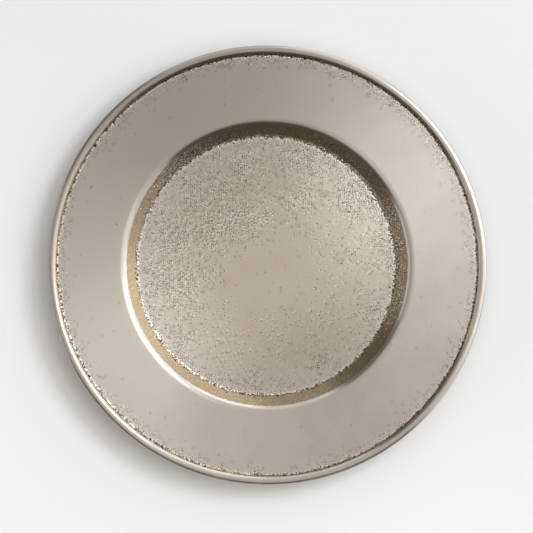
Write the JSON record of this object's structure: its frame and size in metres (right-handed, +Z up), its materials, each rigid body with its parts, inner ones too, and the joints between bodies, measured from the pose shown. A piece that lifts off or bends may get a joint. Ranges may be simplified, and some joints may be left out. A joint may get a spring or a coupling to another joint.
{
  "type": "charger plate",
  "caption": "Round cast metal charger plate with a flat well, rolled shoulder, broad rim, short step and raised edge with a rounded crown, on soft foot pads.",
  "frame": {"origin": "centre of the base, on the surface that the foot pads stand on", "axes": "+Z up, along the plate's axis of revolution; +X and +Y in the plane of the table, at 45 degrees to the lines through the pads"},
  "size_m": [0.33, 0.33, 0.0182],
  "materials": {
    "cast_metal": "antiqued pewter tone, satin-buffed high faces, brown patina left in the rough recesses",
    "pad_rubber": "matt"
  },
  "bodies": {
    "root": {"plate": "cast_metal", "foot_pad_1": "pad_rubber", "foot_pad_2": "pad_rubber", "foot_pad_3": "pad_rubber", "foot_pad_4": "pad_rubber"}
  },
  "joints": []
}
